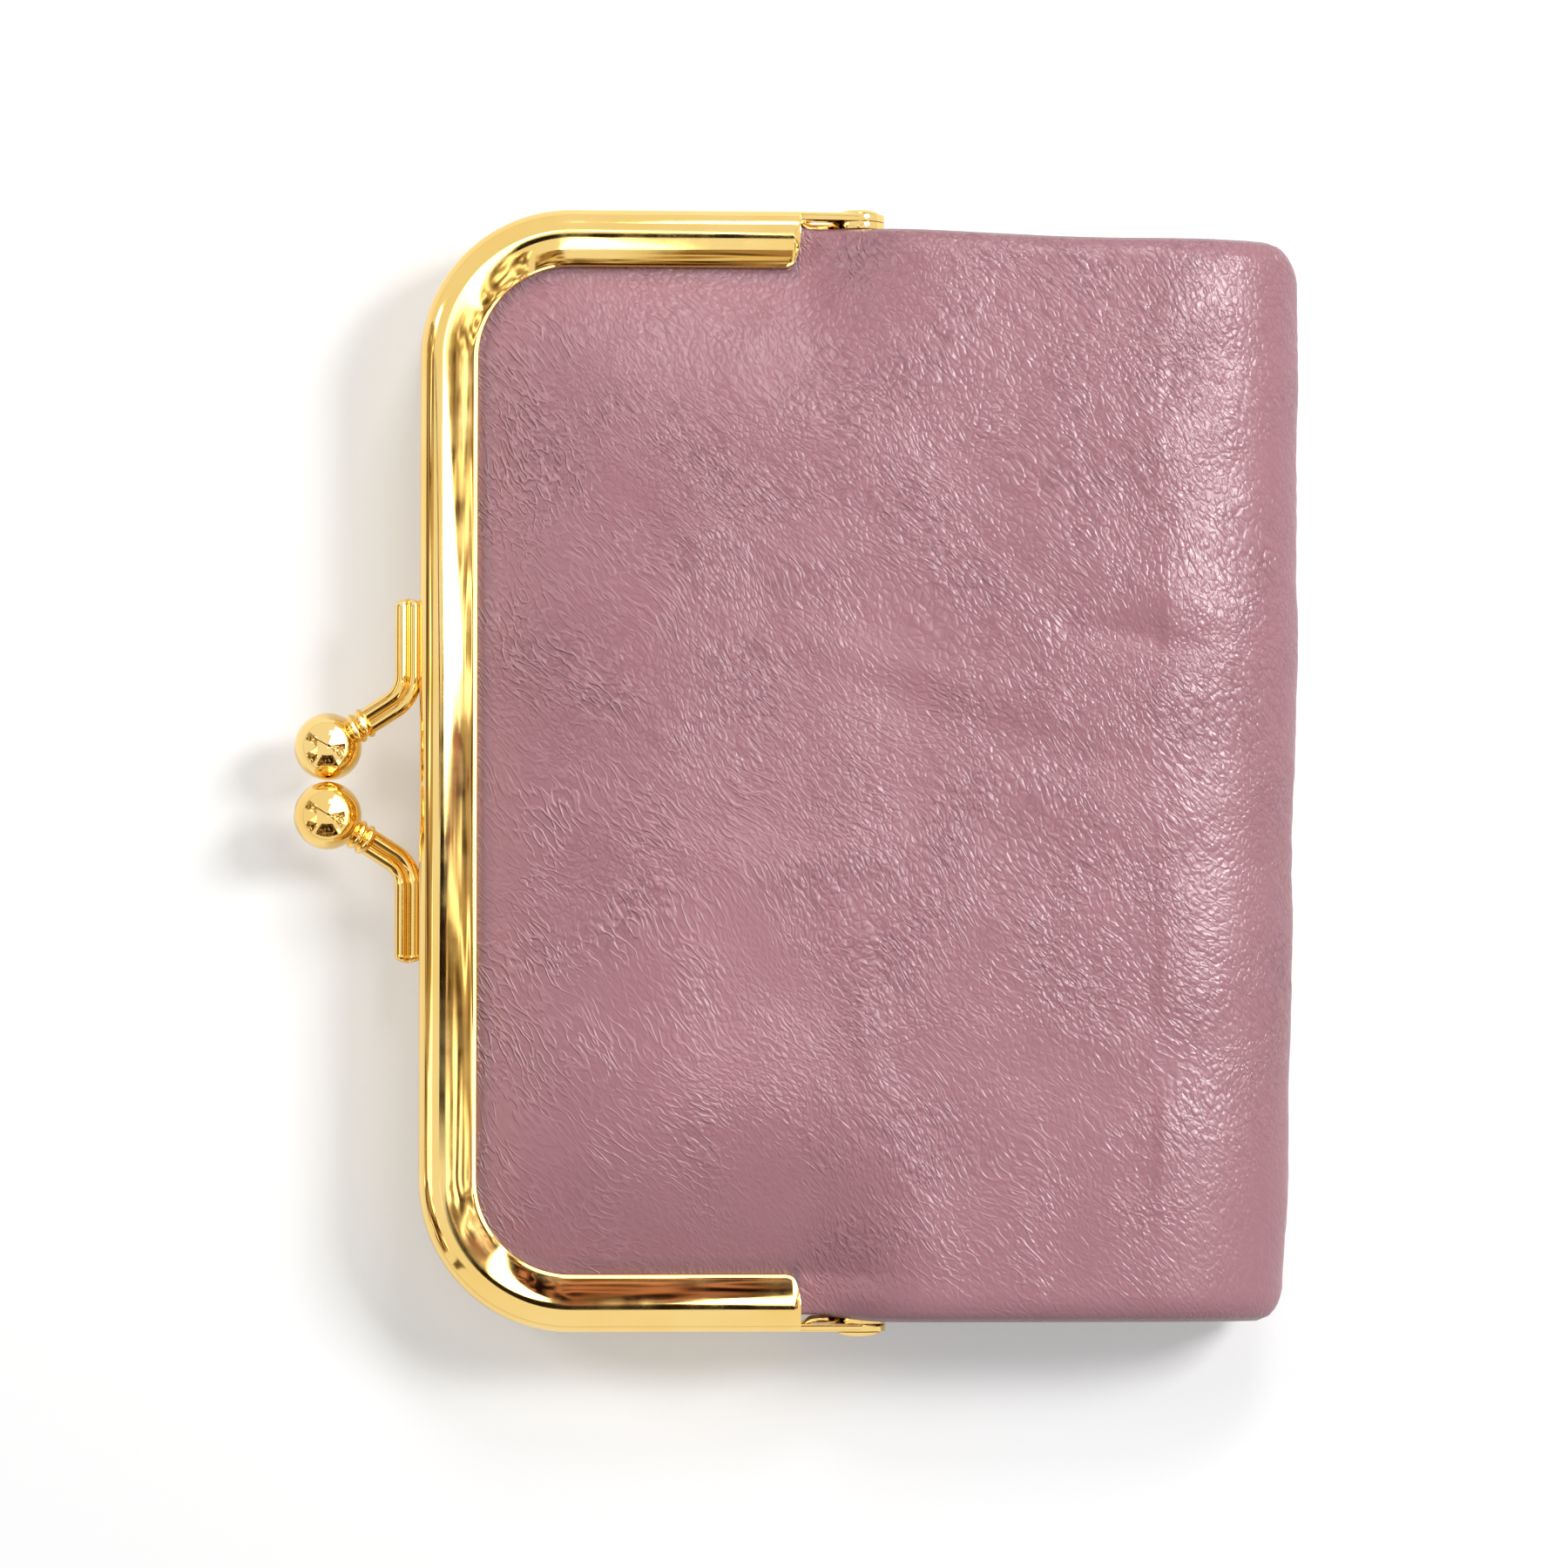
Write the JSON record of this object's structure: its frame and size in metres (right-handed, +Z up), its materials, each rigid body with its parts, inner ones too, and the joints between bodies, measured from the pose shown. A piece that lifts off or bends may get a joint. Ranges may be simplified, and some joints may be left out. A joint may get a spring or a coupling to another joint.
{
  "type": "kiss lock frame purse",
  "caption": "Small leather purse in a hinged gold channel frame that snaps shut with two crossing balls; lies on its back panel, opens to a lined pouch.",
  "frame": {"origin": "on the ground under the middle of the box around the purse as it lies on its back panel", "axes": "+X from the clasp to the fold, +Y along the hinge rivets, +Z up through the front panel"},
  "size_m": [0.0964, 0.1092, 0.016],
  "materials": {
    "gold_plate": "polished gold plate on sheet metal",
    "leather": "dusty mauve waxed leather with fine pebble grain and soft creases",
    "lining": "plain woven lining in a tone near the leather",
    "board": "thin bonded stiffener board",
    "paper_cord": "twisted paper cord"
  },
  "bodies": {
    "back_half": {"back_frame": "gold_plate", "upper_hinge_rivet": "gold_plate", "lower_hinge_rivet": "gold_plate", "back_clasp_stem": "gold_plate", "back_clasp_collar": "gold_plate", "back_clasp_ball": "gold_plate", "crease_leather": "leather", "lower_front_leather": "leather", "fold_leather": "leather", "back_leather": "leather", "upper_gusset": "leather", "lower_gusset": "leather", "crease_lining": "lining", "pouch_lining": "lining", "lower_front_stiffener": "board", "back_stiffener": "board", "back_paper_cord": "paper_cord"},
    "front_half": {"front_frame": "gold_plate", "front_clasp_stem": "gold_plate", "front_clasp_collar": "gold_plate", "front_clasp_ball": "gold_plate", "front_leather": "leather", "front_stiffener": "board", "front_lining": "lining", "front_paper_cord": "paper_cord"}
  },
  "joints": [
    {"name": "frame_open", "type": "hinge", "parent": "back_half", "child": "front_half", "pos_m": [0.00624, 0, 0.008], "axis": [0, 1, 0], "range_deg": [0, 90], "deforming": ["crease_leather", "crease_lining"]}
  ]
}
